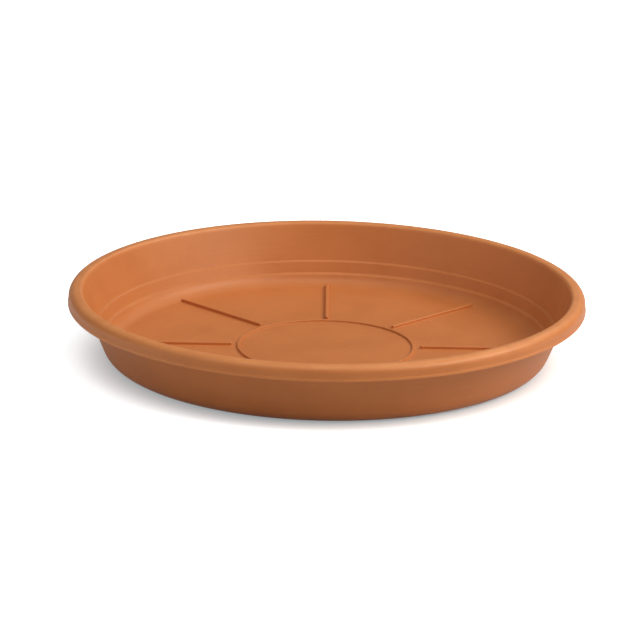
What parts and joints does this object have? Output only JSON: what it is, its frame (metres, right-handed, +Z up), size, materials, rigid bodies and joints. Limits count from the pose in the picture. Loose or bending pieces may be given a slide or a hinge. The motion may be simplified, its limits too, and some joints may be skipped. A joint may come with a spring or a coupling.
{
  "type": "plant saucer",
  "caption": "Round shallow plant saucer with a flared wall, a rolled rim, a raised ring and radial ribs on its floor.",
  "frame": {"origin": "centre of the plane that the foot stands on", "axes": "+Z up along the saucer's axis of symmetry, +X along one rib, +Y along the rib a quarter turn on, away from the picture's camera"},
  "size_m": [0.4, 0.4, 0.054],
  "materials": {
    "terracotta_plastic": "matte moulded plastic with a soft sheen on the rim"
  },
  "bodies": {
    "root": {"saucer": "terracotta_plastic"}
  },
  "joints": []
}
